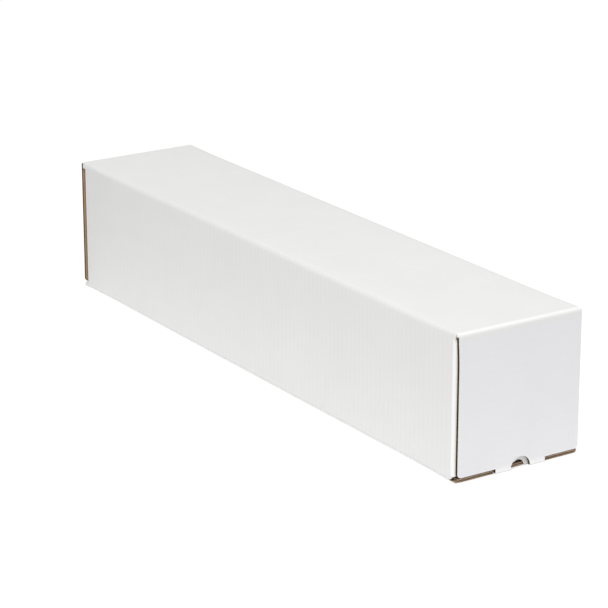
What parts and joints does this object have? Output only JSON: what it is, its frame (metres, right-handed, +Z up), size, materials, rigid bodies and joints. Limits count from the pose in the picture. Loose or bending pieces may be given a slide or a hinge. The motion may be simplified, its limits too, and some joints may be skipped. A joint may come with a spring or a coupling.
{
  "type": "square mailing tube",
  "caption": "Long square mailing tube of white corrugated board, closed at both ends by a tuck-down flap with a thumb notch.",
  "frame": {"origin": "under the middle of the tube, on the surface that its bottom panel lies on", "axes": "+Z up, +Y along the tube towards the far end, +X across its width"},
  "size_m": [0.131, 0.645, 0.133],
  "materials": {
    "white_board": "white-faced corrugated board, brown at its cut edges and inside"
  },
  "bodies": {
    "tube": {"tube_body": "white_board"},
    "near_flap": {"near_end_flap": "white_board"},
    "far_flap": {"far_end_flap": "white_board"}
  },
  "joints": [
    {"name": "near_flap_fold", "type": "hinge", "parent": "tube", "child": "near_flap", "pos_m": [0, -0.3215, 0.132], "axis": [-1, 0, 0], "range_deg": [0, 180]},
    {"name": "far_flap_fold", "type": "hinge", "parent": "tube", "child": "far_flap", "pos_m": [0, 0.3215, 0.132], "axis": [1, 0, 0], "range_deg": [0, 180]}
  ]
}
